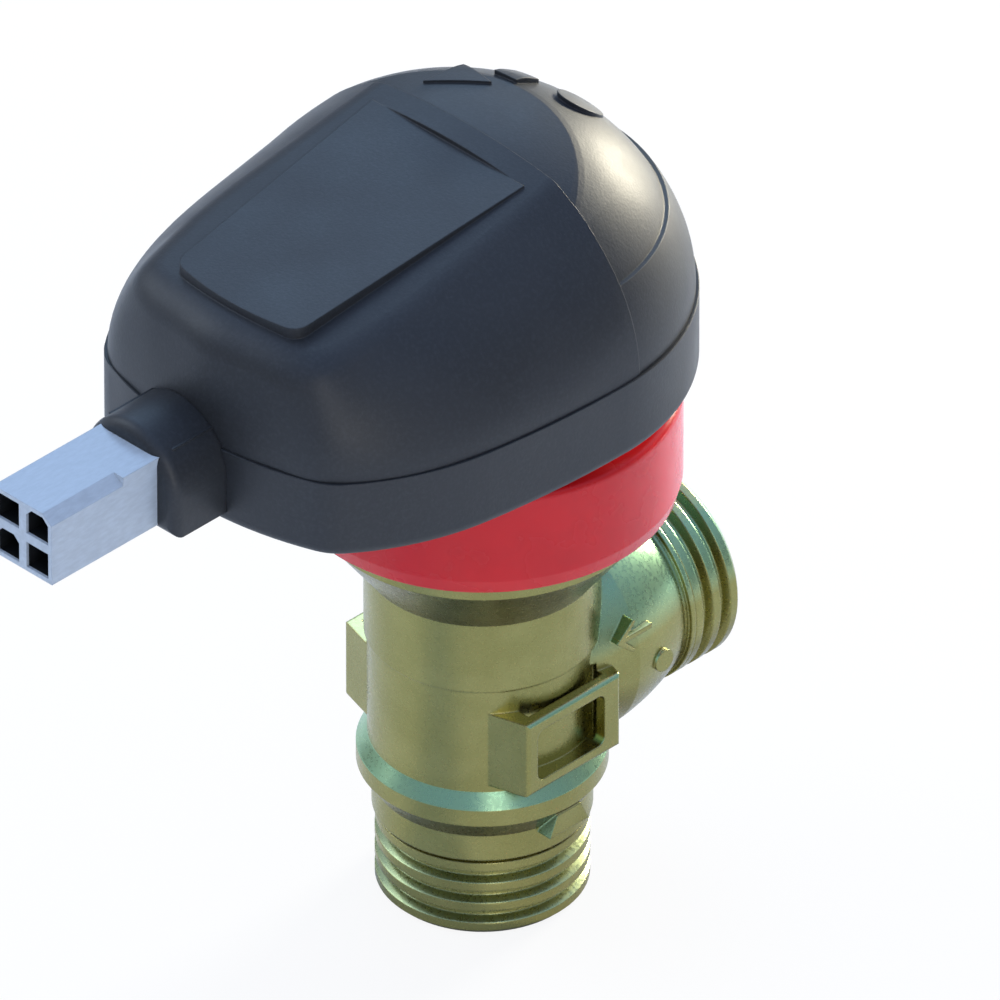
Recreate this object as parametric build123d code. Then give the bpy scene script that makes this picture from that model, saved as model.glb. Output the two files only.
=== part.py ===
from build123d import *
import math
import os

os.makedirs("parts", exist_ok=True)

# Electronic control valve: a brass angle ball valve with an electric actuator locked on its top.
# The origin is the centre of the lower port's end face, the stem axis is +Z and the side port is +Y.

# Pipe ports
thread_r = 13.22
thread_depth = 1.16
thread_pitch = 2.98
thread_groove = 1.8
thread_groove_floor = 0.7
thread_first_groove = 2.7
thread_grooves = 3
thread_length = 10.8
end_chamfer = 0.7
undercut_r = 12.35
undercut_width = 0.7

# Valve body
inlet_r = 9.0
port_z = 32.1
port_end_y = 31.7
side_bore_r = 9.9
side_thread_length = 8.6
neck_start_y = 5.5
neck_start_r = 13.4
neck_full_y = 12.5
neck_full_r = 14.8
neck_mid_y = 18.2
neck_mid_r = 13.95
neck_end_r = 12.7
band_r = 13.6
band_top_z = 15.2
bulge_r = 15.5
bulge_z = 18.0
bulge_top_z = 20.3
barrel_r = 14.12
barrel_z = 22.2
barrel_top_z = 37.1
upper_r = 14.53
upper_step = 0.3
upper_top_z = 47.3
flange_r = 20.7
flange_z = 55.6
groove_z = 60.2
groove_r = 18.6
claw_disc_z = 63.4
body_top_z = 66.0
chamber_r = 11.2
chamber_z = 20.5
bonnet_bore_r = 12.6
bonnet_bore_z = 46.5

# Lugs on the body
lug_face_x = 15.9
lug_root_x = 10.4
lug_half_width = 7.9
lug_root_half_width = 9.5
lug_z = 23.2
lug_top_z = 33.9
lug_plate = 1.55
lug_floor = 1.7
lug_cheek = 1.5
lug_edge = 0.6
window_y0 = -6.3
window_y1 = 5.3
window_z0 = 24.8
window_z1 = 32.3
window_corner = 1.2

# Raised marks on the body
dot_r = 1.5
dot_y = 16.8
dot_z = 30.8
dot_x = 14.75
pad_face_x = 15.35
pad_y0 = -2.3
pad_y1 = 1.7
pad_top_z = 17.45
pad_bottom_z = 14.6
pad_spread = 1.3
arrow_x = 14.5
arrow_y = 12.0
arrow_z = 37.0
arrow_length = 5.6
arrow_head = 2.4
arrow_width = 0.7

# Ball, seats and stem
ball_r = 10.8
ball_bore_r = 5.6
seat_gap = 0.05
seat_bore_r = 6.0
seat_lip_r = 7.6
seat_flange = 1.8
lower_seat_height = 3.9
side_seat_y = 7.9
side_flange_y = 11.5
retainer_length = 8.8
retainer_bore_r = 7.8
retainer_slot = 2.2
retainer_slot_depth = 1.6
slot_width = 3.0
slot_length = 9.0
slot_z = 40.2
tang_play = 0.1
stem_r = 4.5
stem_flange_r = 7.1
stem_flange_z = 43.2
stem_flange_top_z = 44.8
square_side = 6.0
square_z = 60.0
stem_top_z = 76.0
fit_gap = 0.05
seal_depth = 1.0
seal_height = 1.8
seal_zs = (48.5, 52.5)

# Bonnet
skirt_r = 11.0
skirt_z = 43.4
washer_seat_z = 45.5
bonnet_shoulder_z = 56.5
bonnet_top_z = 60.5
bonnet_flats = 19.0
bonnet_seal_z = 49.0
bonnet_seal_depth = 1.15

# Coupling ring
ring_r = 24.5
ring_chamfer_r = 24.0
ring_z = 59.1
ring_chamfer_z = 61.0
ring_wall_z = 73.2
ring_edge = 1.1
ring_shoulder_r = 23.5
ring_top_r = 19.9
ring_top_z = 79.5
ring_bore_r = 21.2
ring_lip_z = 72.5
ring_neck_gap = 0.3
claw_count = 3
claw_angle = 30.0
claw_r = 19.0
claw_play = 0.3
notch_angle = 36.0
ring_turn = 40.0

# Actuator outline in plan at the parting line
parting_z = 90.4
nose_y = -49.7
plan_arcs = ((140.0, 9.0), (36.5, 29.0), (7.5, 31.0))
rear_r = 29.6
rear_y = -5.0

# Actuator shells: the walls start upright at the parting line and curve in towards the top
wall = 2.2
base_proud = 0.3
base_bottom_z = 79.6
base_edge = 1.5
ridge_y = -2.5
ridge_z = 113.0
ridge_step = 0.12
ridge_inner_step = 0.45
dome_over = 2.4
dome_power = 2.0
dome_r = 60.0
dome_back = 6.0
dome_edge = 7.0
front_slope = 0.18
front_crown_r = 95.0
front_power = 1.8
front_over = 1.0
front_edge = 5.5
front_corner_x = 14.6
front_corner_y = -44.3
front_corner_r = 4.5
front_nose_y = -46.9
front_steps = (0.0, 0.3, 0.55, 0.75, 0.9, 1.03)
front_stations = (0.0, 0.15, 0.3, 0.5, 0.64, 0.72, 0.8, 0.9, 1.0)
front_settled = 0.3
rear_steps = (0.0, 0.3, 0.55, 0.75, 0.9, 1.0)
crease_step = 0.6
cap_inset = 1.0
cap_over = 4.0
cap_drop = 0.3
ledge_z = 101.8
panel_bottom_y = -41.9
panel_bottom_z = 106.9
panel_bottom_half = 10.5
panel_bow = 1.2
panel_top_y = -5.8
panel_top_z = 111.8
panel_top_half = 13.0
panel_corner = 2.2
neck_r = 17.9
neck_bore_r = 15.2
neck_floor = 3.0
bush_r = 9.2
bush_flange_r = 11.0
bush_flange = 1.2
retainer_groove_z = 70.9
retainer_thick = 1.3
retainer_r = 20.6
retainer_groove_depth = 0.9
gasket_inset = 0.7
gasket_width = 0.9
gasket_height = 1.2

# Raised marks on the dome
mark_rise = 0.35
mark_triangle = ((-10.9, 0.8), (-4.0, 5.6), (-10.1, 6.9))
mark_square_corner = (-6.0, 8.1)
mark_square = 3.8
mark_disc = (3.4, 13.4)
mark_disc_r = 2.8

# Plug and its surround
plug_x = -2.4
plug_z = 87.4
plug_width = 10.0
plug_height = 9.8
plug_end_y = -75.8
plug_back_y = -46.4
plug_step_length = 12.1
plug_step_x = 1.65
plug_step_z = 1.2
cell_width = 3.74
cell_height = 3.65
cell_pitch_x = 5.0
cell_pitch_z = 4.95
cell_depth = 14.0
cell_corner = 0.9
surround_half = 8.0
surround_y = -58.0
surround_bottom_z = 81.5
surround_top_z = 94.7
surround_edge = 1.5
surround_sleeve = 0.5
terminal_r = 0.9
terminal_wall = 0.3
terminal_length = 9.0
lead_r = 0.45

# Gear train
gear_angle = 25.0
addendum = 0.9
dedendum = 1.25
backlash = 0.12
gear_low_z = 82.9
gear_high_z = 85.7
gear_face = 2.3
module_out = 0.7
module_mid = 0.6
module_in = 0.5
teeth_out = 48
teeth_mid = 40
teeth_in = 36
teeth_pinion = 12
second_gear_deg = -115.0
first_gear_deg = -35.0
motor_deg = -35.0
axle_r = 1.0
hub_r = 2.0
sleeve_r = 7.5
sleeve_bottom_z = 66.5
cam_shaft_r = 5.0
cam_shaft_top_z = 92.3
rim_width = 2.2
web_sink = 0.6

# Inner plate, motor, board and switches
floor_z = 82.0
plate_z = 88.4
plate_thick = 1.6
plate_play = 0.3
post_r = 2.0
plate_posts = ((-18.0, -36.0), (24.3, -17.0), (-24.3, -9.0), (7.0, -43.5), (8.5, 18.0))
screw_posts = ((-16.5, -42.3), (16.5, -42.3), (24.0, 4.0), (-24.0, 4.0))
screw_post_r = 2.6
screw_r = 1.2
screw_head_r = 2.3
screw_head = 1.6
screw_length = 14.0
plate_screw_r = 0.8
plate_screw_head_r = 1.7
plate_screw_head = 1.0
plate_screw_length = 5.0
motor_r = 5.0
motor_length = 9.5
motor_boss_r = 2.5
motor_shaft_r = 0.75
cam_r = 8.5
cam_low_r = 7.2
cam_thick = 1.8
cam_z = 90.4
cam_lobe_deg = 100.0
switch_size = (12.4, 5.6, 5.4)
switch_y = 9.4
switch_button_r = 0.8
board_z = 97.0
board_thick = 1.6
board_play = 3.6
board_corner = (-22.0, -41.0)
board_far = (4.5, 19.5)
board_post_r = 1.6
board_posts_at = ((-17.5, -30.0), (1.5, -38.5), (-17.5, 8.0), (1.5, 17.3))
connector_size = (10.0, 6.0, 4.2)
connector_at = (-8.0, -33.0)
capacitor_r = 3.2
capacitor_length = 5.5
capacitor_at = (-8.0, -22.0)
chip_size = (8.0, 8.0, 1.4)
chip_at = (-8.0, -8.0)

CENTRED_LOW = (Align.CENTER, Align.CENTER, Align.MIN)
LOW = (Align.MIN, Align.MIN, Align.MIN)


def disc(radius, z0, z1, at=(0.0, 0.0)):
    return Pos(at[0], at[1], z0) * Cylinder(radius, z1 - z0, align=CENTRED_LOW)


def tube(outer, inner, z0, z1, at=(0.0, 0.0)):
    return disc(outer, z0, z1, at) - disc(inner, z0, z1, at)


def block(x0, x1, y0, y1, z0, z1):
    return Pos(x0, y0, z0) * Box(x1 - x0, y1 - y0, z1 - z0, align=LOW)


def turned(points):
    outline = Polyline(*points, close=True)
    return revolve(Plane.XZ * make_face(outline), Axis.Z)


def along_side_port(shape):
    return Pos(0, 0, port_z) * Rot(-90, 0, 0) * shape


def sector(inner, outer, z0, z1, middle_deg, width_deg):
    reach = outer * 2
    first = math.radians(middle_deg - width_deg / 2)
    last = math.radians(middle_deg + width_deg / 2)
    corners = [(0, 0)]
    corners.append((reach * math.cos(first), reach * math.sin(first)))
    corners.append((reach * math.cos(last), reach * math.sin(last)))
    wedge = extrude(make_face(Polyline(*corners, close=True)), z1 - z0)
    return tube(outer, inner, z0, z1) & (Pos(0, 0, z0) * wedge)


def save(name, shape):
    export_step(shape, "parts/" + name + ".step")


def thread_grooves_cut():
    cut = None
    for index in range(thread_grooves):
        middle = thread_first_groove + index * thread_pitch
        half = thread_groove / 2
        floor = thread_groove_floor / 2
        root = thread_r - thread_depth
        beyond = thread_r + 1
        slope = (half - floor) / thread_depth
        outer = half + slope
        points = [(root, middle - floor), (beyond, middle - outer)]
        points += [(beyond, middle + outer), (root, middle + floor)]
        groove = turned(points)
        cut = groove if cut is None else cut + groove
    return cut


def body_outside():
    undercut_z = thread_length + undercut_width
    points = [(0, 0), (thread_r - end_chamfer, 0), (thread_r, end_chamfer)]
    points += [(thread_r, thread_length), (undercut_r, thread_length)]
    points += [(undercut_r, undercut_z), (band_r, undercut_z), (band_r, band_top_z)]
    points += [(bulge_r, bulge_z), (bulge_r, bulge_top_z), (barrel_r, barrel_z)]
    points += [(barrel_r, barrel_top_z), (upper_r, barrel_top_z + upper_step)]
    points += [(upper_r, upper_top_z), (flange_r, flange_z), (flange_r, groove_z)]
    points += [(groove_r, groove_z), (groove_r, claw_disc_z), (flange_r, claw_disc_z)]
    points += [(flange_r, body_top_z), (0, body_top_z)]
    return turned(points) - thread_grooves_cut()


def side_neck():
    thread_start = port_end_y - side_thread_length
    start = (neck_start_r, neck_start_y)
    full = (neck_full_r, neck_full_y)
    middle = (neck_mid_r, neck_mid_y)
    end = (neck_end_r, thread_start - undercut_width)
    lines = Line((0, neck_start_y), start)
    lines += Line(start, full)
    lines += ThreePointArc(full, middle, end)
    lines += Polyline(end, (neck_end_r, thread_start), (thread_r, thread_start))
    lines += Polyline((thread_r, thread_start), (thread_r, port_end_y - end_chamfer))
    lines += Polyline((thread_r, port_end_y - end_chamfer), (thread_r - end_chamfer, port_end_y))
    lines += Polyline((thread_r - end_chamfer, port_end_y), (0, port_end_y), (0, neck_start_y))
    neck = revolve(Plane.XZ * make_face(lines), Axis.Z)
    grooves = Pos(0, 0, port_end_y) * Rot(180, 0, 0) * thread_grooves_cut()
    keep = disc(thread_r * 2, thread_start + undercut_width, port_end_y)
    return along_side_port(neck - (grooves & keep))


def lug():
    corners = [(lug_root_x, -lug_root_half_width), (lug_face_x, -lug_half_width)]
    corners += [(lug_face_x, lug_half_width), (lug_root_x, lug_root_half_width)]
    outline = make_face(Polyline(*corners, close=True))
    solid = Pos(0, 0, lug_z) * extrude(outline, lug_top_z - lug_z)
    front = solid.faces().sort_by(Axis.X)[-1]
    return fillet(front.edges(), lug_edge)


def lug_cuts():
    back_x = lug_face_x - lug_plate
    half = lug_half_width - lug_cheek
    pocket = block(lug_root_x - 1, back_x, -half, half, lug_z + lug_floor, lug_top_z + 1)
    pocket -= disc(barrel_r, lug_z, lug_top_z + 2)
    window = block(back_x - 1, lug_face_x + 1, window_y0, window_y1, window_z0, window_z1)
    window = fillet(window.edges().filter_by(Axis.X), window_corner)
    window -= disc(barrel_r, lug_z, lug_top_z + 2)
    return pocket + window


def flow_arrow():
    tip_y = arrow_y - arrow_length / 2
    tail_y = arrow_y + arrow_length / 2
    half = arrow_width / 2
    shaft = block(neck_end_r - 2, arrow_x, tip_y, tail_y, arrow_z - half, arrow_z + half)
    corners = [(tip_y - half, arrow_z), (tip_y + arrow_head, arrow_z + arrow_head)]
    corners += [(tip_y + arrow_head + half, arrow_z + arrow_head - half), (tip_y + 2 * half, arrow_z)]
    corners += [(tip_y + arrow_head + half, arrow_z - arrow_head + half)]
    corners += [(tip_y + arrow_head, arrow_z - arrow_head)]
    head = extrude(Plane.YZ * make_face(Polyline(*corners, close=True)), arrow_x)
    return shaft + (head - block(0, neck_end_r - 2, -99, 99, 0, 99))


def port_pad():
    corners = [(pad_y0, pad_top_z), (pad_y1, pad_top_z), (pad_y1 + pad_spread, pad_bottom_z)]
    corners += [(pad_y0 - pad_spread, pad_bottom_z)]
    plate = extrude(Plane.YZ * make_face(Polyline(*corners, close=True)), pad_face_x)
    return plate - block(0, undercut_r, -99, 99, 0, 99)


def valve_body():
    one_lug = lug()
    cuts = lug_cuts()
    body = body_outside() + side_neck() + one_lug + mirror(one_lug, Plane.YZ)
    dot = Pos(dot_x, dot_y, dot_z) * Rot(0, -90, 0) * Cylinder(dot_r, 3, align=CENTRED_LOW)
    body += dot
    body += flow_arrow()
    body += port_pad()
    body -= cuts
    body -= mirror(cuts, Plane.YZ)
    body -= disc(inlet_r, -1, chamber_z + 1)
    body -= disc(chamber_r, chamber_z, bonnet_bore_z + 1)
    body -= disc(bonnet_bore_r, bonnet_bore_z, body_top_z + 1)
    body -= along_side_port(disc(side_bore_r, neck_start_y, port_end_y + 1))
    for index in range(claw_count):
        middle = ring_turn + index * 360 / claw_count
        body -= sector(groove_r, flange_r + 1, claw_disc_z, body_top_z + 1, middle, notch_angle)
    return body


def ball_space():
    return Pos(0, 0, port_z) * Sphere(ball_r + seat_gap)


def lower_seat():
    flange_top = chamber_z + seat_flange
    seat = tube(chamber_r - 2 * seat_gap, seat_bore_r, chamber_z, flange_top)
    seat += tube(seat_lip_r, seat_bore_r, flange_top, chamber_z + lower_seat_height)
    return seat - ball_space()


def side_seat():
    seat = tube(side_bore_r - seat_gap, seat_bore_r, side_flange_y, side_flange_y + seat_flange)
    seat += tube(seat_lip_r, seat_bore_r, side_seat_y, side_flange_y)
    return along_side_port(seat) - ball_space()


def seat_retainer():
    start = side_flange_y + seat_flange
    bush = tube(side_bore_r - seat_gap, retainer_bore_r, start, start + retainer_length)
    slot = Pos(0, 0, start + retainer_length - retainer_slot_depth)
    bush -= slot * Box(side_bore_r * 3, retainer_slot, retainer_slot_depth * 2, align=CENTRED_LOW)
    return along_side_port(bush)


def valve_ball():
    ball = Pos(0, 0, port_z) * Sphere(ball_r)
    ball -= disc(ball_bore_r, port_z - ball_r - 1, port_z)
    ball -= along_side_port(disc(ball_bore_r, 0, ball_r + 1))
    ball -= Pos(0, 0, port_z) * Sphere(ball_bore_r)
    half = slot_length / 2
    ball -= block(-half, half, -slot_width / 2, slot_width / 2, slot_z, port_z + ball_r + 1)
    return ball


def valve_stem():
    half = slot_length / 2 - tang_play
    thick = slot_width / 2 - tang_play
    tang_z = slot_z + tang_play
    stem = block(-half, half, -thick, thick, tang_z, stem_flange_z)
    stem += disc(stem_flange_r, stem_flange_z, stem_flange_top_z)
    stem += disc(stem_r, stem_flange_top_z, square_z)
    side = square_side / 2
    stem += block(-side, side, -side, side, square_z, stem_top_z)
    for seal_z in seal_zs:
        stem -= tube(stem_r + 1, stem_r - seal_depth, seal_z, seal_z + seal_height)
    return stem


def stem_thrust_washer():
    return tube(stem_flange_r, stem_r + fit_gap, stem_flange_top_z + fit_gap, washer_seat_z)


def stem_seals():
    rings = []
    for seal_z in seal_zs:
        ring = tube(stem_r, stem_r - seal_depth, seal_z, seal_z + seal_height)
        rings.append(ring)
    return Compound(rings)


def valve_bonnet():
    cap = disc(skirt_r, skirt_z, bonnet_bore_z)
    cap += disc(bonnet_bore_r - fit_gap, bonnet_bore_z, bonnet_shoulder_z)
    hexagon = RegularPolygon(bonnet_flats / 2, 6, major_radius=False)
    cap += Pos(0, 0, bonnet_shoulder_z) * extrude(hexagon, bonnet_top_z - bonnet_shoulder_z)
    cap -= disc(stem_flange_r + 2 * fit_gap, skirt_z - 1, washer_seat_z)
    cap -= disc(stem_r + fit_gap, skirt_z, bonnet_top_z + 1)
    groove_floor = bonnet_bore_r - bonnet_seal_depth
    cap -= tube(bonnet_bore_r + 1, groove_floor, bonnet_seal_z, bonnet_seal_z + seal_height)
    return cap


def bonnet_seal():
    inner = bonnet_bore_r - bonnet_seal_depth
    return tube(bonnet_bore_r, inner, bonnet_seal_z, bonnet_seal_z + seal_height)


def coupling_ring():
    points = [(ring_bore_r, ring_z), (ring_chamfer_r, ring_z), (ring_r, ring_chamfer_z)]
    points += [(ring_r, ring_wall_z), (ring_shoulder_r - ring_edge, ring_wall_z + ring_edge / 2)]
    points += [(ring_top_r, ring_top_z), (neck_r + ring_neck_gap, ring_top_z)]
    points += [(neck_r + ring_neck_gap, ring_lip_z), (ring_bore_r, ring_lip_z)]
    ring = turned(points)
    rim = ring.edges().filter_by(GeomType.CIRCLE)
    rim = rim.filter_by(lambda edge: abs(edge.radius - ring_r) < 1e-3 and edge.center().Z > ring_lip_z)
    ring = fillet(rim, ring_edge)
    for index in range(claw_count):
        middle = index * 360 / claw_count
        low = groove_z + claw_play
        high = claw_disc_z - claw_play
        ring += sector(claw_r, ring_bore_r + claw_play, low, high, middle, claw_angle)
    return ring


def ring_retainer():
    inner = neck_r - retainer_groove_depth
    clip = tube(retainer_r, inner, retainer_groove_z, retainer_groove_z + retainer_thick)
    gap_half = retainer_r / 8
    return clip - block(-gap_half, gap_half, -retainer_r * 2, 0, ring_z, ring_top_z)


def plan_arc_places(grow):
    x = rear_r + grow
    y = rear_y
    heading = 0.0
    arcs = []
    for radius, turn in plan_arcs:
        reach = radius + grow
        places = [(x, y)]
        for part in (heading + turn / 2, heading + turn):
            last = math.radians(part)
            first = math.radians(heading)
            px = x + reach * (math.cos(last) - math.cos(first))
            py = y - reach * (math.sin(last) - math.sin(first))
            places.append((px, py))
        arcs.append(places)
        x, y = places[-1]
        heading += turn
    nose_radius = x / math.cos(math.radians(heading))
    centre_y = y + nose_radius * math.sin(math.radians(heading))
    middle = math.radians((heading + 90) / 2)
    halfway = (nose_radius * math.cos(middle), centre_y - nose_radius * math.sin(middle))
    arcs.append([(x, y), halfway, (0.0, centre_y - nose_radius)])
    return arcs


def plan_face(grow):
    right = None
    arcs = plan_arc_places(grow)
    for places in arcs[:-1]:
        arc = ThreePointArc(*places)
        right = arc if right is None else right + arc
    x, y = arcs[-1][0]
    outline = right + mirror(right, Plane.YZ) + ThreePointArc((x, y), arcs[-1][2], (-x, y))
    rear = rear_r + grow
    outline += ThreePointArc((rear, rear_y), (0, rear_y + rear), (-rear, rear_y))
    return make_face(outline)


def dome_share(rise, inset, over, power):
    height = ridge_z + over - parting_z - inset
    return (1 - (rise / height) ** power) ** (1 / power)


def front_start(radius):
    start_y = ridge_y + front_over
    return (math.sqrt(radius ** 2 - (start_y - rear_y) ** 2), start_y)


def front_low_curve():
    turn = math.asin((ridge_y + front_over - rear_y) / rear_r)
    halfway = (rear_r * math.cos(turn / 2), rear_y + rear_r * math.sin(turn / 2))
    edges = [ThreePointArc(front_start(rear_r), halfway, (rear_r, rear_y))]
    for places in plan_arc_places(0.0):
        edges.append(ThreePointArc(*places))
    return Wire(edges)


def front_high_curve():
    start = front_start(rear_r * dome_share(ridge_z - parting_z, 0.0, dome_over, dome_power))
    corner = (front_corner_x, front_corner_y)
    return FilletPolyline(start, corner, (0, front_nose_y), radius=front_corner_r)


def front_section(step, inset):
    full = ridge_z - parting_z - inset
    low_curve = front_low_curve()
    high_curve = front_high_curve()
    right = []
    for station in front_stations:
        power = dome_power + (front_power - dome_power) * min(1, station / front_settled)
        bend = 1 - dome_share(step * full, inset, dome_over, power)
        bend /= 1 - dome_share(full, inset, dome_over, power)
        ends = []
        for curve in (low_curve, high_curve):
            place = curve.position_at(station)
            along = curve.tangent_at(station)
            ends.append((place.X + along.Y * inset, place.Y - along.X * inset))
        x = ends[0][0] + (ends[1][0] - ends[0][0]) * bend
        y = ends[0][1] + (ends[1][1] - ends[0][1]) * bend
        roof_z = ridge_z - inset + front_slope * (y - ridge_y)
        right.append((x, y, parting_z + step * (roof_z - parting_z)))
    left = [(-x, y, z) for x, y, z in reversed(right[:-1])]
    if step < crease_step:
        radius = (rear_r - inset) * dome_share(step * full, inset, dome_over, dome_power)
        lean = (ridge_y + front_over - rear_y) / radius
        fall = step * front_slope
        curve = Spline(*right, *left, tangents=[(lean, -1, -fall), (lean, 1, fall)])
    else:
        curve = Spline(*right, *left)
    back = Line(curve @ 1, curve @ 0)
    return make_face(Wire([*curve.edges(), *back.edges()])).face()


def roof_edges(form):
    roof = form.faces().sort_by(lambda face: face.normal_at(face.center()).Z)[-1]
    return roof.edges().filter_by(lambda edge: abs(edge.center().Y - ridge_y) > 1)


def ridge_side(toward):
    far = rear_r * 3
    ends = sorted((ridge_y, ridge_y + toward * far))
    return block(-far, far, ends[0], ends[1], 0, ridge_z * 2)


def front_form(inset):
    sections = [front_section(step, inset) for step in front_steps]
    tilt = math.degrees(math.atan(front_slope)) - 90
    crown = Rot(tilt, 0, 0) * Pos(0, front_crown_r, 0) * Cylinder(front_crown_r, rear_r * 9)
    form = loft(sections) & (Pos(0, ridge_y, ridge_z - inset) * crown) & ridge_side(-1)
    return fillet(roof_edges(form), front_edge - inset)


def dome_ball(drop):
    rise = dome_back ** 2 / (2 * dome_r)
    return Pos(0, ridge_y + dome_back, ridge_z + rise - dome_r - drop) * Sphere(dome_r)


def rear_form(inset, drop, over, fall):
    full = ridge_z + dome_over / 2 - parting_z - inset
    sections = []
    for step in rear_steps:
        radius = rear_r - inset - fall * (1 - dome_share(step * full, inset, over, dome_power))
        sections.append((Pos(0, rear_y, parting_z + step * full) * Circle(radius)).face())
    form = loft(sections) & dome_ball(drop) & ridge_side(1)
    return fillet(roof_edges(form), dome_edge - inset)


def cap_form(grow):
    inset = cap_inset - grow
    return rear_form(inset, cap_drop - grow, cap_over, rear_r - inset)


def cover_form(inset, step):
    full = ridge_z - parting_z
    fall = rear_r * (1 - dome_share(full, 0.0, dome_over, dome_power))
    fall /= 1 - dome_share(full - inset, inset, dome_over, dome_power)
    set_in = inset + step
    return front_form(inset) + rear_form(set_in, set_in, dome_over, fall)


def panel_prism():
    bottom_left = (-panel_bottom_half, panel_bottom_y)
    bottom_right = (panel_bottom_half, panel_bottom_y)
    lines = ThreePointArc(bottom_left, (0, panel_bottom_y - panel_bow), bottom_right)
    lines += Polyline(bottom_right, (panel_top_half, panel_top_y), (-panel_top_half, panel_top_y), bottom_left)
    prism = Pos(0, 0, parting_z) * extrude(make_face(lines), 2 * (ridge_z - parting_z))
    corners = prism.edges().filter_by(Axis.Z).sort_by(Axis.Y)[:2]
    return fillet(corners, panel_corner)


def panel_air():
    slope = (panel_top_z - panel_bottom_z) / (panel_top_y - panel_bottom_y)
    far = rear_r * 2
    low_y = panel_bottom_y - far
    high_y = panel_top_y + far
    points = [(low_y, panel_bottom_z - far * slope), (high_y, panel_top_z + far * slope)]
    points += [(high_y, ridge_z * 2), (low_y, ridge_z * 2)]
    return extrude(Plane.YZ * make_face(Polyline(*points, close=True)), far, both=True)


def cap_cut():
    far = rear_r * 2
    band = block(-far, far, ridge_y, far, ledge_z, ridge_z * 2)
    return band - cap_form(0.0)


def dome_marks():
    rise = ridge_z + dome_over - ledge_z
    marks = extrude(make_face(Polyline(*mark_triangle, close=True)), rise)
    x, y = mark_square_corner
    marks += Pos(x, y) * Box(mark_square, mark_square, rise, align=LOW)
    marks += Pos(*mark_disc) * Cylinder(mark_disc_r, rise, align=CENTRED_LOW)
    return (Pos(0, 0, ledge_z) * marks) & cap_form(mark_rise)


def plug_window():
    half_x = plug_width / 2 + surround_sleeve
    half_z = plug_height / 2 + surround_sleeve
    box = block(plug_x - half_x, plug_x + half_x, surround_y, plug_back_y + wall, 0, 2 * half_z)
    return Pos(0, 0, plug_z - half_z) * box


def top_cover():
    outside = cover_form(0, ridge_step)
    prism = panel_prism()
    air = panel_air()
    cover = (outside - cap_cut()) + (prism - air)
    cover -= prism & air
    cover += dome_marks()
    inside = cover_form(wall, ridge_inner_step)
    cover -= inside
    hole_top_z = base_bottom_z + screw_head + screw_length + plate_play
    for at in screw_posts:
        post = disc(screw_post_r, parting_z, hole_top_z + wall, at) & outside
        cover += post
    for at in screw_posts:
        cover -= disc(screw_r, parting_z - 1, hole_top_z, at)
    groove = gasket_ring(gasket_height / 2)
    cover -= groove
    return cover - plug_window()


def gasket_ring(height):
    outer = extrude(plan_face(-gasket_inset), height)
    inner = extrude(plan_face(-gasket_inset - gasket_width), height)
    return Pos(0, 0, parting_z) * (outer - inner)


def shell_seal():
    lower = Pos(0, 0, -gasket_height / 2) * gasket_ring(gasket_height / 2)
    return lower + gasket_ring(gasket_height / 2) - plug_window()


def base_shell():
    height = parting_z - base_bottom_z
    shell = Pos(0, 0, base_bottom_z) * extrude(plan_face(base_proud), height)
    bottom = shell.faces().sort_by(Axis.Z)[0]
    shell = fillet(bottom.edges(), base_edge)
    shell -= Pos(0, 0, floor_z) * extrude(plan_face(-wall), height)
    shell += disc(neck_r, body_top_z, floor_z)
    shell -= disc(neck_bore_r, body_top_z + neck_floor, floor_z + 1)
    shell -= disc(bush_r, body_top_z - 1, floor_z)
    groove = tube(neck_r + 1, neck_r - retainer_groove_depth, retainer_groove_z, retainer_groove_z + retainer_thick)
    shell -= groove
    for at in plate_posts:
        shell += disc(post_r, floor_z - 1, plate_z, at)
    for at in plate_posts:
        shell -= disc(plate_screw_r, plate_z - plate_screw_length + plate_thick, plate_z + 1, at)
    for at in screw_posts:
        shell += disc(screw_post_r, floor_z - 1, parting_z, at)
    for at in screw_posts:
        shell -= disc(screw_r, base_bottom_z - 1, parting_z + 1, at)
        shell -= disc(screw_head_r, base_bottom_z - 1, base_bottom_z + screw_head, at)
    for at in (second_gear_at(), first_gear_at()):
        shell -= disc(axle_r, floor_z - wall / 2, floor_z + 1, at)
    groove = Pos(0, 0, -gasket_height / 2) * gasket_ring(gasket_height / 2)
    return shell - groove - plug_window()


def housing_screws():
    screws = []
    for at in screw_posts:
        shank = disc(screw_r, base_bottom_z + screw_head, base_bottom_z + screw_head + screw_length, at)
        head = disc(screw_head_r, base_bottom_z, base_bottom_z + screw_head, at)
        socket = Pos(at[0], at[1], base_bottom_z) * Box(2.4, 0.6, 1.4)
        screws.append((shank + head - socket).solid())
    return Compound(screws)


def surround_outline():
    centre_z = surround_top_z - surround_half
    left = plug_x - surround_half
    right = plug_x + surround_half
    lines = Polyline((left, centre_z), (left, surround_bottom_z), (right, surround_bottom_z), (right, centre_z))
    lines += ThreePointArc((right, centre_z), (plug_x, surround_top_z), (left, centre_z))
    return make_face(lines)


def plug_box(play):
    half_x = plug_width / 2 + play
    half_z = plug_height / 2 + play
    return block(plug_x - half_x, plug_x + half_x, plug_end_y, plug_back_y, plug_z - half_z, plug_z + half_z)


def plug_surround():
    length = nose_y + wall - surround_y
    boss = Pos(0, surround_y, 0) * extrude(Plane.XZ * surround_outline(), -length)
    front = boss.faces().sort_by(Axis.Y)[0]
    boss = fillet(front.edges(), surround_edge)
    height = parting_z - base_bottom_z
    lower = Pos(0, 0, base_bottom_z) * extrude(plan_face(base_proud), height)
    lower = fillet(lower.faces().sort_by(Axis.Z)[0].edges(), base_edge)
    boss = boss - lower - cover_form(0, ridge_step)
    boss = boss.solids().sort_by(Axis.Y)[0]
    sleeve = plug_window() & block(-99, 99, surround_y + wall, plug_back_y, 0, 199)
    return boss + sleeve - plug_box(0)


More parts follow.
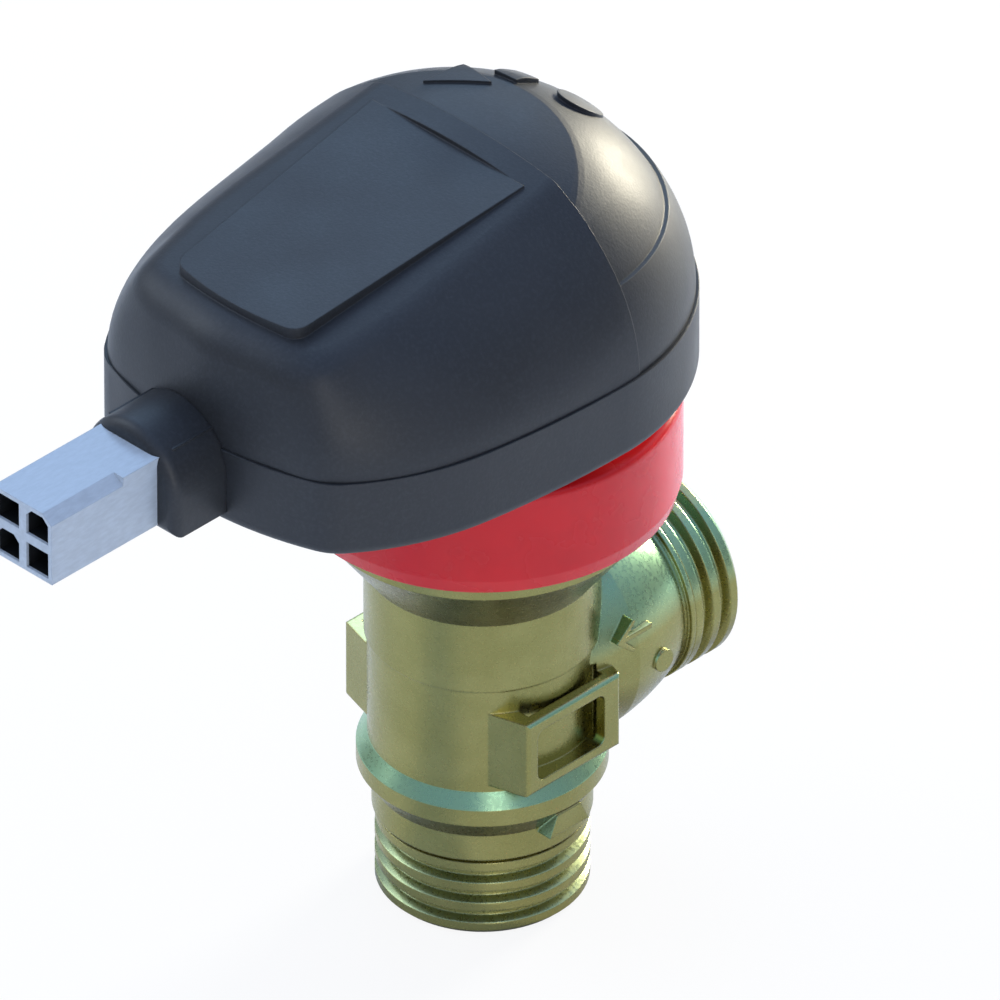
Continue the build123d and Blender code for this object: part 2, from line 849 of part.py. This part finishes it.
def plug_cell(x, z, cornered):
    half_x = cell_width / 2
    half_z = cell_height / 2
    cell = block(x - half_x, x + half_x, plug_end_y - 1, plug_end_y + cell_depth, z - half_z, z + half_z)
    if cornered:
        tops = cell.edges().filter_by(Axis.Y).sort_by(Axis.Z)[-2:]
        cell = chamfer(tops, cell_corner)
    return cell


def cell_places():
    places = []
    for column in (-1, 1):
        for row in (-1, 1):
            x = plug_x + column * cell_pitch_x / 2
            z = plug_z + row * cell_pitch_z / 2
            places.append((x, z, column == row))
    return places


def plug_housing():
    plug = plug_box(0)
    right = plug_x + plug_width / 2
    top = plug_z + plug_height / 2
    corners = [(right - plug_step_x, top), (right, top - plug_step_z), (right + 1, top + 1)]
    wedge = extrude(Plane.XZ * make_face(Polyline(*corners, close=True)), -plug_step_length)
    plug -= Pos(0, plug_end_y, 0) * wedge
    for x, z, cornered in cell_places():
        plug -= plug_cell(x, z, cornered)
        plug -= Pos(x, plug_back_y, z) * Rot(90, 0, 0) * Cylinder(lead_r + terminal_wall, 99, align=CENTRED_LOW)
    return plug


def plug_terminals():
    pins = []
    for x, z, cornered in cell_places():
        floor_y = plug_end_y + cell_depth
        place = Pos(x, floor_y - terminal_length, z) * Rot(-90, 0, 0)
        pin = Cylinder(terminal_r, terminal_length, align=CENTRED_LOW)
        pin -= Cylinder(terminal_r - terminal_wall, terminal_length - 2, align=CENTRED_LOW)
        tail = Pos(x, floor_y - 2, z) * Rot(-90, 0, 0) * Cylinder(lead_r, 4, align=CENTRED_LOW)
        pins.append((place * pin + tail).solid())
    return Compound(pins)


def involute(angle):
    return math.tan(angle) - angle


def gear_face_outline(teeth, module, phase_deg):
    pitch_r = teeth * module / 2
    pressure = math.radians(gear_angle)
    base_r = pitch_r * math.cos(pressure)
    tip_r = pitch_r + addendum * module
    root_r = pitch_r - dedendum * module
    pitch_half = (math.pi / 2 - backlash / module) / teeth
    points = []
    radii = [root_r, max(base_r, root_r + 0.05), pitch_r, tip_r]
    for tooth in range(teeth):
        middle = math.radians(phase_deg) + tooth * 2 * math.pi / teeth
        flank_angles = []
        for radius in radii:
            working = math.acos(min(1, base_r / radius))
            flank_angles.append(pitch_half + involute(pressure) - involute(working))
        for radius, angle in zip(radii, flank_angles):
            points.append((radius * math.cos(middle - angle), radius * math.sin(middle - angle)))
        for radius, angle in zip(reversed(radii), reversed(flank_angles)):
            points.append((radius * math.cos(middle + angle), radius * math.sin(middle + angle)))
    return make_face(Polyline(*points, close=True))


def spur_gear(teeth, module, phase_deg, z, at=(0.0, 0.0)):
    return Pos(at[0], at[1], z) * extrude(gear_face_outline(teeth, module, phase_deg), gear_face)


def polar(centre, radius, angle_deg):
    angle = math.radians(angle_deg)
    return (centre[0] + radius * math.cos(angle), centre[1] + radius * math.sin(angle))


def second_gear_at():
    return polar((0, 0), (teeth_out + teeth_pinion) * module_out / 2, second_gear_deg)


def first_gear_at():
    return polar(second_gear_at(), (teeth_mid + teeth_pinion) * module_mid / 2, first_gear_deg)


def motor_at():
    return polar(first_gear_at(), (teeth_in + teeth_pinion) * module_in / 2, motor_deg)


def gap_phase(teeth, towards_deg):
    return towards_deg + 180 + 180 / teeth


def compound_gear(at, wheel, wheel_module, wheel_deg, wheel_z, pinion_module, pinion_deg, pinion_z):
    big = spur_gear(wheel, wheel_module, wheel_deg, wheel_z, at)
    small = spur_gear(teeth_pinion, pinion_module, gap_phase(teeth_pinion, pinion_deg), pinion_z, at)
    hub = disc(hub_r, min(wheel_z, pinion_z), max(wheel_z, pinion_z) + gear_face, at)
    return big + small + hub - disc(axle_r + fit_gap, floor_z, plate_z, at)


def second_gear():
    at = second_gear_at()
    return compound_gear(at, teeth_mid, module_mid, first_gear_deg, gear_high_z, module_out, second_gear_deg, gear_low_z)


def first_gear():
    at = first_gear_at()
    return compound_gear(at, teeth_in, module_in, motor_deg, gear_low_z, module_mid, first_gear_deg, gear_high_z)


def motor_pinion():
    at = motor_at()
    pinion = spur_gear(teeth_pinion, module_in, gap_phase(teeth_pinion, motor_deg), gear_low_z, at)
    shaft_top = plate_z + plate_thick + motor_length / 2
    return pinion + disc(motor_shaft_r, gear_low_z, shaft_top, at)


def output_gear():
    gear = spur_gear(teeth_out, module_out, second_gear_deg, gear_low_z)
    gear += disc(sleeve_r, sleeve_bottom_z, gear_low_z)
    gear += disc(cam_shaft_r, gear_low_z, cam_shaft_top_z)
    rim_r = teeth_out * module_out / 2 - rim_width
    gear -= tube(rim_r, sleeve_r, gear_low_z + gear_face - web_sink, gear_low_z + gear_face)
    side = square_side / 2 + tang_play
    return gear - block(-side, side, -side, side, sleeve_bottom_z - 1, stem_top_z + tang_play)


def gear_axles():
    pins = []
    for at in (second_gear_at(), first_gear_at()):
        pins.append(disc(axle_r, floor_z - wall / 2, plate_z + plate_thick, at))
    return Compound(pins)


def output_bush():
    bush = tube(bush_r, sleeve_r + fit_gap, body_top_z, body_top_z + neck_floor)
    flange_z = body_top_z + neck_floor
    return bush + tube(bush_flange_r, sleeve_r + fit_gap, flange_z, flange_z + bush_flange)


def gear_plate():
    plate = Pos(0, 0, plate_z) * extrude(plan_face(-wall - plate_play), plate_thick)
    for at in screw_posts:
        plate -= disc(screw_post_r + plate_play, plate_z - 1, parting_z, at)
    for at in plate_posts:
        plate -= disc(plate_screw_r, plate_z - 1, parting_z, at)
    for at in (second_gear_at(), first_gear_at()):
        plate -= disc(axle_r, plate_z - 1, parting_z, at)
    plate -= disc(motor_boss_r, plate_z - 1, parting_z, motor_at())
    plate -= disc(cam_shaft_r + fit_gap, plate_z - 1, parting_z)
    reach = plug_box(surround_sleeve + plate_play)
    return plate - reach


def plate_screws():
    screws = []
    top = plate_z + plate_thick
    for at in plate_posts:
        shank = disc(plate_screw_r, top - plate_screw_length + plate_play, top, at)
        head = disc(plate_screw_head_r, top, top + plate_screw_head, at)
        screws.append((shank + head).solid())
    return Compound(screws)


def motor():
    at = motor_at()
    top = plate_z + plate_thick
    can = disc(motor_r, top, top + motor_length, at)
    can = fillet(can.edges().sort_by(Axis.Z)[-1:], 0.8)
    can += disc(motor_boss_r, plate_z, top, at)
    return can - disc(motor_shaft_r + fit_gap, plate_z - 1, top + motor_length / 2 + fit_gap, at)


def position_cam():
    cam = disc(cam_low_r, cam_z, cam_z + cam_thick)
    cam += sector(cam_low_r - 1, cam_r, cam_z, cam_z + cam_thick, 90, cam_lobe_deg)
    return cam - disc(cam_shaft_r, cam_z - 1, cam_z + cam_thick + 1)


def limit_switches():
    length, depth, height = switch_size
    low = plate_z + plate_thick
    switches = []
    for side in (-1, 1):
        x = side * (length / 2 + plate_play)
        case = block(x - length / 2, x + length / 2, switch_y, switch_y + depth, low, low + height)
        button_z = cam_z + cam_thick / 2
        button = Pos(x * 0.4, switch_y, button_z) * Rot(90, 0, 0) * Cylinder(switch_button_r, 0.5, align=CENTRED_LOW)
        switches.append((case + button).solid())
    return Compound(switches)


def circuit_board():
    x0, y0 = board_corner
    x1, y1 = board_far
    board = block(x0, x1, y0, y1, board_z, board_z + board_thick)
    room = Pos(0, 0, board_z) * extrude(plan_face(-wall - board_play), board_thick)
    board = board & room
    for at in screw_posts:
        board -= disc(screw_post_r + plate_play, board_z - 1, board_z + board_thick + 1, at)
    return board


def board_posts():
    posts = []
    for at in board_posts_at:
        posts.append(disc(board_post_r, plate_z + plate_thick, board_z, at))
    return Compound(posts)


def board_parts():
    top = board_z + board_thick
    pieces = []
    for size, at in ((connector_size, connector_at), (chip_size, chip_at)):
        pieces.append(Pos(at[0], at[1], top) * Box(*size, align=CENTRED_LOW))
    barrel = Rot(0, 90, 0) * Cylinder(capacitor_r, capacitor_length)
    pieces.append((Pos(capacitor_at[0], capacitor_at[1], top + capacitor_r) * barrel).solid())
    return Compound([piece.solid() for piece in pieces])


def main():
    save("valve_body", valve_body())
    save("lower_seat", lower_seat())
    save("side_seat", side_seat())
    save("seat_retainer", seat_retainer())
    save("valve_ball", valve_ball())
    save("valve_stem", valve_stem())
    save("stem_thrust_washer", stem_thrust_washer())
    save("stem_seals", stem_seals())
    save("valve_bonnet", valve_bonnet())
    save("bonnet_seal", bonnet_seal())
    save("coupling_ring", coupling_ring())
    save("ring_retainer", ring_retainer())
    save("base_shell", base_shell())
    save("top_cover", top_cover())
    save("shell_seal", shell_seal())
    save("housing_screws", housing_screws())
    save("plug_surround", plug_surround())
    save("plug_housing", plug_housing())
    save("plug_terminals", plug_terminals())
    save("gear_plate", gear_plate())
    save("plate_screws", plate_screws())
    save("motor", motor())
    save("motor_pinion", motor_pinion())
    save("first_gear", first_gear())
    save("second_gear", second_gear())
    save("output_gear", output_gear())
    save("gear_axles", gear_axles())
    save("output_bush", output_bush())
    save("position_cam", position_cam())
    save("limit_switches", limit_switches())
    save("circuit_board", circuit_board())
    save("board_posts", board_posts())
    save("board_parts", board_parts())


main()
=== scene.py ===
import math

import bpy
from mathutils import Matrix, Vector


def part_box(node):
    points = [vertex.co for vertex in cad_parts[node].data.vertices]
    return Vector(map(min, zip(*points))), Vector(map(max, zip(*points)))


# Looks for the electronic control valve. Lengths are in metres unless a name ends in _mm.
MM = 0.001

# Camera: the photograph is close to parallel, so the lens is very long
AIM = Vector((1.525, 1.525, 55.9)) * MM
VIEW_WIDTH = 121.85 * MM
HALF_ANGLE = math.radians(0.7)
SENSOR_MM = 36.0
TOWARDS_CAMERA = Vector((1, -1, 1)).normalized()

# Light
FLOOR_SIZE = 8.0
SKY = (0.50, 0.72, 1.20)
HORIZON = (0.40, 0.41, 0.43)
HORIZON_BAND = (0.46, 0.56)
GROUND = (0.16, 0.15, 0.13)
WORLD_STRENGTH = 0.85
# Each soft box: name, place, size, watts, colour
SOFT_BOXES = (
    ("rear_box", (-0.10, 0.95, 0.26), (0.30, 0.24), 14.0, (1.0, 0.93, 0.74)),
    ("sky_box", (-0.62, 0.55, 0.75), (0.5, 0.5), 2.2, (0.45, 0.70, 1.0)),
    ("left_box", (-0.7, -0.35, 0.6), (0.6, 0.6), 2.5, (0.80, 0.90, 1.0)),
    ("front_box", (0.8, -0.5, 0.35), (0.3, 0.7), 1.5, (1.0, 0.98, 0.95)),
)
FLOOR_WHITE = 0.93
FLOOR_GLOW_SHARE = 0.9

# Materials: the middle stretch of a noise's values, where nearly all of them lie
NOISE_MIDDLE = (0.3, 0.7)
BEVEL_SAMPLES = 6
# A material's second tone, as a factor of its first
DEEPER = 0.8
PALER = 1.3

# Colours, linear
BRASS_SIDE = (0.29, 0.27, 0.095)
# Cast brass by facing: painted top light where it faces up, a painted teal sky reflection on
# upward bevels, painted shade where it faces down; the pale tone is also the turned brass's own
# colour
BRASS_PALE_AND_LIT = (0.62, 0.57, 0.25)
BRASS_PAINTED_SKY_TINT = (0.30, 0.50, 0.30)
BRASS_PAINTED_SHADE = (0.13, 0.115, 0.03)
SHELL_BLACK = (0.020, 0.021, 0.023)
SHELL_DUST = (0.032, 0.034, 0.038)
RING_RED = (0.70, 0.006, 0.010)
PLUG_GREY = (0.48, 0.53, 0.58)
# Painted shade for the inside of the plug's cells
CELL_PAINTED_SHADE = (0.012, 0.013, 0.014)
GEAR_WHITE = (0.72, 0.70, 0.64)
BOARD_GREEN = (0.02, 0.12, 0.05)
STEEL = (0.50, 0.50, 0.51)
TIN = (0.62, 0.61, 0.58)
SEAL_BLACK = (0.018, 0.018, 0.019)
SEAT_WHITE = (0.80, 0.79, 0.76)
SWITCH_BLACK = (0.030, 0.030, 0.034)

# Plug: the skin round its cells, inside which the shade is painted, and the width and depth of the
# step along its top edge
PLUG_SKIN_MM = 0.4
PLUG_STEP_MM = (1.75, 1.3)

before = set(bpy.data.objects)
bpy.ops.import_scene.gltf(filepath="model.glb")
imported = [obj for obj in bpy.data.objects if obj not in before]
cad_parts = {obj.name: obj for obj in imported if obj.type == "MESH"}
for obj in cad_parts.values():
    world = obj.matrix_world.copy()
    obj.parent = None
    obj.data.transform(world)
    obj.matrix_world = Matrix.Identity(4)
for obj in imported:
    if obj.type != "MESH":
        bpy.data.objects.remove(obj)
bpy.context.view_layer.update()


class Shader:
    """A material under construction, with short calls for the nodes that it uses."""

    def __init__(self, name):
        self.material = bpy.data.materials.new(name)
        self.material.use_nodes = True
        self.tree = self.material.node_tree
        self.principled = self.tree.nodes["Principled BSDF"]
        self.place = self.node("ShaderNodeTexCoord")

    def node(self, kind, **settings):
        made = self.tree.nodes.new(kind)
        for key, value in settings.items():
            setattr(made, key, value)
        return made

    def link(self, source, target):
        self.tree.links.new(source, target)

    def set(self, socket, value):
        self.principled.inputs[socket].default_value = value

    def colour(self, source):
        self.link(source, self.principled.inputs["Base Color"])

    def roughness(self, source, low, high):
        """Roughness that follows a noise."""
        self.link(self.span(source, low, high, *NOISE_MIDDLE), self.principled.inputs["Roughness"])

    def noise(self, size_mm, detail=3.0, stretch=(1, 1, 1)):
        """Noise whose grains are about size_mm across."""
        mapping = self.node("ShaderNodeMapping")
        mapping.inputs["Scale"].default_value = Vector(stretch) / (size_mm * MM)
        self.link(self.place.outputs["Object"], mapping.inputs["Vector"])
        noise = self.node("ShaderNodeTexNoise")
        noise.inputs["Scale"].default_value = 1.0
        noise.inputs["Detail"].default_value = detail
        self.link(mapping.outputs["Vector"], noise.inputs["Vector"])
        return noise.outputs["Fac"]

    def ramp(self, source, stops):
        """Colours by a value: stops are (position, colour)."""
        ramp = self.node("ShaderNodeValToRGB")
        elements = ramp.color_ramp.elements
        while len(elements) < len(stops):
            elements.new(0.5)
        for element, (position, colour) in zip(elements, stops):
            element.position = position
            element.color = (*colour, 1.0)
        self.link(source, ramp.inputs["Fac"])
        return ramp.outputs["Color"]

    def span(self, source, low, high, from_low=0.0, from_high=1.0):
        """A value moved from one range to another, and clamped."""
        change = self.node("ShaderNodeMapRange")
        change.inputs["From Min"].default_value = from_low
        change.inputs["From Max"].default_value = from_high
        change.inputs["To Min"].default_value = low
        change.inputs["To Max"].default_value = high
        self.link(source, change.inputs["Value"])
        return change.outputs["Result"]

    def maths(self, operation, first, second):
        """What a maths node makes of two values, each a socket or a number."""
        maths = self.node("ShaderNodeMath", operation=operation)
        for value, target in zip((first, second), maths.inputs):
            if isinstance(value, bpy.types.NodeSocket):
                self.link(value, target)
            else:
                target.default_value = value
        return maths.outputs[0]

    def within(self, low, high):
        """1 inside a box given in the object's own place, 0 outside it."""
        place = self.node("ShaderNodeSeparateXYZ")
        self.link(self.place.outputs["Object"], place.inputs["Vector"])
        inside = 1.0
        for axis in range(3):
            above = self.maths("GREATER_THAN", place.outputs[axis], low[axis])
            below = self.maths("LESS_THAN", place.outputs[axis], high[axis])
            inside = self.maths("MULTIPLY", inside, self.maths("MULTIPLY", above, below))
        return inside

    def mix(self, share, first, second):
        """The first colour, with a share of the second; each colour is a socket or a constant."""
        mix = self.node("ShaderNodeMix", data_type="RGBA")
        for value, socket in ((share, "Factor"), (first, "A"), (second, "B")):
            target = next(item for item in mix.inputs if item.name == socket and item.enabled)
            if isinstance(value, tuple):
                target.default_value = (*value, 1.0)
            else:
                self.link(value, target)
        return next(item for item in mix.outputs if item.enabled)

    def bump(self, source, depth_mm, round_mm=0.0):
        """Relief of that depth, on edges that look rounded by round_mm."""
        bump = self.node("ShaderNodeBump")
        bump.inputs["Strength"].default_value = 1.0
        bump.inputs["Distance"].default_value = depth_mm * MM
        self.link(source, bump.inputs["Height"])
        if round_mm:
            bevel = self.node("ShaderNodeBevel", samples=BEVEL_SAMPLES)
            bevel.inputs["Radius"].default_value = round_mm * MM
            self.link(bevel.outputs["Normal"], bump.inputs["Normal"])
        self.link(bump.outputs["Normal"], self.principled.inputs["Normal"])


def passivated_brass(name, round_mm):
    """Olive passivated brass, with light and shade painted by facing: painted top light and a
    painted sky reflection where it faces up, painted shade where it faces down.
    """
    shader = Shader(name)
    shader.set("Metallic", 1.0)
    facing = shader.node("ShaderNodeSeparateXYZ")
    shader.link(shader.place.outputs["Normal"], facing.inputs["Vector"])
    upward = shader.span(facing.outputs["Z"], 0.0, 1.0, -1.0, 1.0)
    # Painted light by facing: painted shade downwards, the plain olive sideways, a painted sky
    # reflection on upward bevels and painted top light upwards
    stops = ((0.0, BRASS_PAINTED_SHADE), (0.30, BRASS_PAINTED_SHADE), (0.44, BRASS_SIDE), (0.60, BRASS_SIDE))
    stops += ((0.74, BRASS_PAINTED_SKY_TINT), (0.90, BRASS_PAINTED_SKY_TINT), (1.0, BRASS_PALE_AND_LIT))
    painted_light_by_facing = shader.ramp(upward, stops)
    cloud = shader.span(shader.noise(6.0, 3.0), 0.0, 0.12, 0.40, 0.70)
    shader.colour(shader.mix(cloud, painted_light_by_facing, BRASS_PALE_AND_LIT))
    shader.roughness(shader.noise(0.5, 4.0), 0.24, 0.34)
    shader.bump(shader.noise(0.3, 3.0), 0.006, round_mm)
    return shader.material


def moulded(name, colour, second, grain_mm, depth_mm, roughness, round_mm):
    """Moulded plastic with an eroded, finely grained surface."""
    shader = Shader(name)
    shader.set("Specular IOR Level", 0.5)
    cloud = shader.noise(9.0, 4.0)
    speck = shader.span(shader.noise(grain_mm * 1.4, 2.0), 0.0, 0.6, 0.45, 0.75)
    worn = shader.mix(shader.span(cloud, 0.0, 0.35, 0.4, 0.7), colour, second)
    shader.colour(shader.mix(speck, worn, second))
    shader.roughness(cloud, *roughness)
    shader.bump(shader.noise(grain_mm, 3.0), depth_mm, round_mm)
    return shader.material


def glossy_ring():
    """Glossy red plastic, a little deeper in places."""
    shader = Shader("ring_gloss")
    shader.set("Coat Weight", 0.25)
    shader.set("Specular IOR Level", 0.3)
    shader.set("Coat Roughness", 0.06)
    cloud = shader.noise(6.0, 3.0)
    deep = tuple(part * DEEPER for part in RING_RED)
    shader.colour(shader.mix(shader.span(cloud, 0.0, 0.5, 0.35, 0.7), RING_RED, deep))
    shader.roughness(cloud, 0.22, 0.32)
    shader.bump(shader.noise(1.4, 2.0), 0.012, 0.3)
    return shader.material


def plug_nylon():
    """Grey nylon, with painted shade in the four cells but not in the step along the top."""
    shader = Shader("plug_nylon")
    low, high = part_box("plug_housing")
    skin = PLUG_SKIN_MM * MM
    cells = shader.within([value + skin for value in low], [value - skin for value in high])
    step_low = (high[0] - PLUG_STEP_MM[0] * MM, low[1], high[2] - PLUG_STEP_MM[1] * MM)
    step = shader.within(step_low, high)
    # Painted shade: the cells' depth drawn as a near-black colour inside them
    painted_cell_shade = shader.maths("MULTIPLY", cells, shader.maths("SUBTRACT", 1.0, step))
    streaks = shader.noise(0.5, 3.0, (1, 0.3, 1))
    pale = tuple(part * PALER for part in PLUG_GREY)
    body = shader.mix(shader.span(streaks, 0.0, 0.5, 0.35, 0.7), PLUG_GREY, pale)
    shader.colour(shader.mix(painted_cell_shade, body, CELL_PAINTED_SHADE))
    shader.roughness(streaks, 0.32, 0.46)
    shader.bump(shader.noise(0.4, 3.0), 0.012, 0.15)
    return shader.material


def machined(name, colour, roughness=0.28):
    """Metal with fine level lines, as turning leaves them."""
    shader = Shader(name)
    shader.set("Metallic", 1.0)
    lines = shader.noise(0.35, 3.0, (1, 1, 6))
    dark = tuple(part * DEEPER for part in colour)
    shader.colour(shader.mix(lines, colour, dark))
    shader.roughness(lines, roughness - 0.06, roughness + 0.08)
    shader.bump(lines, 0.008, 0.1)
    return shader.material


brass_cast = passivated_brass("brass_cast", 0.35)
brass_turned = machined("brass_turned", BRASS_PALE_AND_LIT)
shell_plastic = moulded("shell_plastic", SHELL_BLACK, SHELL_DUST, 0.35, 0.02, (0.42, 0.52), 0.25)
seal_rubber = moulded("seal_rubber", SEAL_BLACK, SHELL_BLACK, 0.8, 0.01, (0.5, 0.6), 0.1)
seat_plastic = moulded("seat_plastic", SEAT_WHITE, SEAT_WHITE, 0.8, 0.008, (0.35, 0.45), 0.1)
gear_plastic = moulded("gear_plastic", GEAR_WHITE, SEAT_WHITE, 0.5, 0.006, (0.3, 0.4), 0.08)
board_laminate = moulded("board_laminate", BOARD_GREEN, BOARD_GREEN, 0.5, 0.006, (0.3, 0.4), 0.08)
switch_plastic = moulded("switch_plastic", SWITCH_BLACK, SHELL_BLACK, 0.4, 0.008, (0.4, 0.5), 0.1)
steel = machined("steel", STEEL)
tinned = machined("tinned", TIN, 0.3)

node_materials = {
    "valve_body": brass_cast,
    "valve_bonnet": brass_turned,
    "seat_retainer": brass_turned,
    "valve_stem": brass_turned,
    "valve_ball": tinned,
    "coupling_ring": glossy_ring(),
    "base_shell": shell_plastic,
    "top_cover": shell_plastic,
    "plug_surround": shell_plastic,
    "plug_housing": plug_nylon(),
    "plug_terminals": tinned,
    "lower_seat": seat_plastic,
    "side_seat": seat_plastic,
    "stem_thrust_washer": seat_plastic,
    "stem_seals": seal_rubber,
    "bonnet_seal": seal_rubber,
    "shell_seal": seal_rubber,
    "ring_retainer": steel,
    "housing_screws": steel,
    "plate_screws": steel,
    "gear_axles": steel,
    "motor": steel,
    "motor_pinion": tinned,
    "gear_plate": switch_plastic,
    "first_gear": gear_plastic,
    "second_gear": gear_plastic,
    "output_gear": gear_plastic,
    "output_bush": seat_plastic,
    "position_cam": switch_plastic,
    "limit_switches": switch_plastic,
    "circuit_board": board_laminate,
    "board_posts": tinned,
    "board_parts": switch_plastic,
}
for node_name, node_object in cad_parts.items():
    for slot in node_object.material_slots:
        slot.material = node_materials[node_name]


def add_floor():
    """White paper that shows the object's shadow, and is nearly pure white for the camera."""
    half = FLOOR_SIZE / 2
    mesh = bpy.data.meshes.new("studio_floor")
    corners = [(-half, -half, 0), (half, -half, 0), (half, half, 0), (-half, half, 0)]
    mesh.from_pydata(corners, [], [(0, 1, 2, 3)])
    floor = bpy.data.objects.new("studio_floor", mesh)
    bpy.context.collection.objects.link(floor)
    material = bpy.data.materials.new("floor_paper")
    material.use_nodes = True
    tree = material.node_tree
    tree.nodes.remove(tree.nodes["Principled BSDF"])
    output = tree.nodes["Material Output"]
    paper = tree.nodes.new("ShaderNodeBsdfDiffuse")
    paper.inputs["Color"].default_value = (FLOOR_WHITE, FLOOR_WHITE, FLOOR_WHITE, 1)
    white = tree.nodes.new("ShaderNodeEmission")
    white.inputs["Color"].default_value = (1, 1, 1, 1)
    seen = tree.nodes.new("ShaderNodeLightPath")
    share = tree.nodes.new("ShaderNodeMath")
    share.operation = "MULTIPLY"
    share.inputs[1].default_value = FLOOR_GLOW_SHARE
    mix = tree.nodes.new("ShaderNodeMixShader")
    tree.links.new(seen.outputs["Is Camera Ray"], share.inputs[0])
    tree.links.new(share.outputs[0], mix.inputs["Fac"])
    tree.links.new(paper.outputs[0], mix.inputs[1])
    tree.links.new(white.outputs[0], mix.inputs[2])
    tree.links.new(mix.outputs[0], output.inputs["Surface"])
    mesh.materials.append(material)


def add_world():
    """A sky that lights from above, a pale horizon and a dark ground; the camera sees white."""
    world = bpy.data.worlds.new("studio_world")
    bpy.context.scene.world = world
    world.use_nodes = True
    tree = world.node_tree
    background = tree.nodes["Background"]
    place = tree.nodes.new("ShaderNodeTexCoord")
    split = tree.nodes.new("ShaderNodeSeparateXYZ")
    height = tree.nodes.new("ShaderNodeMapRange")
    height.inputs["From Min"].default_value = -1.0
    ramp = tree.nodes.new("ShaderNodeValToRGB")
    elements = ramp.color_ramp.elements
    for position in HORIZON_BAND:
        elements.new(position)
    bands = zip((0.0, *HORIZON_BAND, 1.0), (GROUND, GROUND, HORIZON, SKY))
    for element, (position, colour) in zip(elements, bands):
        element.position = position
        element.color = (*colour, 1.0)
    tree.links.new(place.outputs["Generated"], split.inputs["Vector"])
    tree.links.new(split.outputs["Z"], height.inputs["Value"])
    tree.links.new(height.outputs["Result"], ramp.inputs["Fac"])
    tree.links.new(ramp.outputs["Color"], background.inputs["Color"])
    background.inputs["Strength"].default_value = WORLD_STRENGTH
    white = tree.nodes.new("ShaderNodeBackground")
    white.inputs["Color"].default_value = (1, 1, 1, 1)
    seen = tree.nodes.new("ShaderNodeLightPath")
    mix = tree.nodes.new("ShaderNodeMixShader")
    tree.links.new(seen.outputs["Is Camera Ray"], mix.inputs["Fac"])
    tree.links.new(background.outputs[0], mix.inputs[1])
    tree.links.new(white.outputs[0], mix.inputs[2])
    tree.links.new(mix.outputs[0], tree.nodes["World Output"].inputs["Surface"])


def add_area(name, place, size, watts, colour):
    """A soft box that faces the object."""
    light = bpy.data.lights.new(name, "AREA")
    light.shape = "RECTANGLE"
    light.size, light.size_y = size
    light.energy = watts
    light.color = colour
    lamp = bpy.data.objects.new(name, light)
    lamp.location = place
    lamp.rotation_euler = (Vector(place) - AIM).to_track_quat("Z", "Y").to_euler()
    bpy.context.collection.objects.link(lamp)


def add_camera():
    """A very long lens, so far away that the view is VIEW_WIDTH wide at the object."""
    camera = bpy.data.objects.new("camera", bpy.data.cameras.new("camera"))
    camera.data.sensor_width = SENSOR_MM
    camera.data.lens = SENSOR_MM / 2 / math.tan(HALF_ANGLE)
    distance = VIEW_WIDTH / 2 / math.tan(HALF_ANGLE)
    camera.data.clip_end = distance + FLOOR_SIZE
    camera.location = AIM + TOWARDS_CAMERA * distance
    camera.rotation_euler = TOWARDS_CAMERA.to_track_quat("Z", "Y").to_euler()
    bpy.context.collection.objects.link(camera)
    bpy.context.scene.camera = camera


add_floor()
add_world()
for soft_box in SOFT_BOXES:
    add_area(*soft_box)
add_camera()

bpy.context.scene.view_settings.view_transform = "Standard"
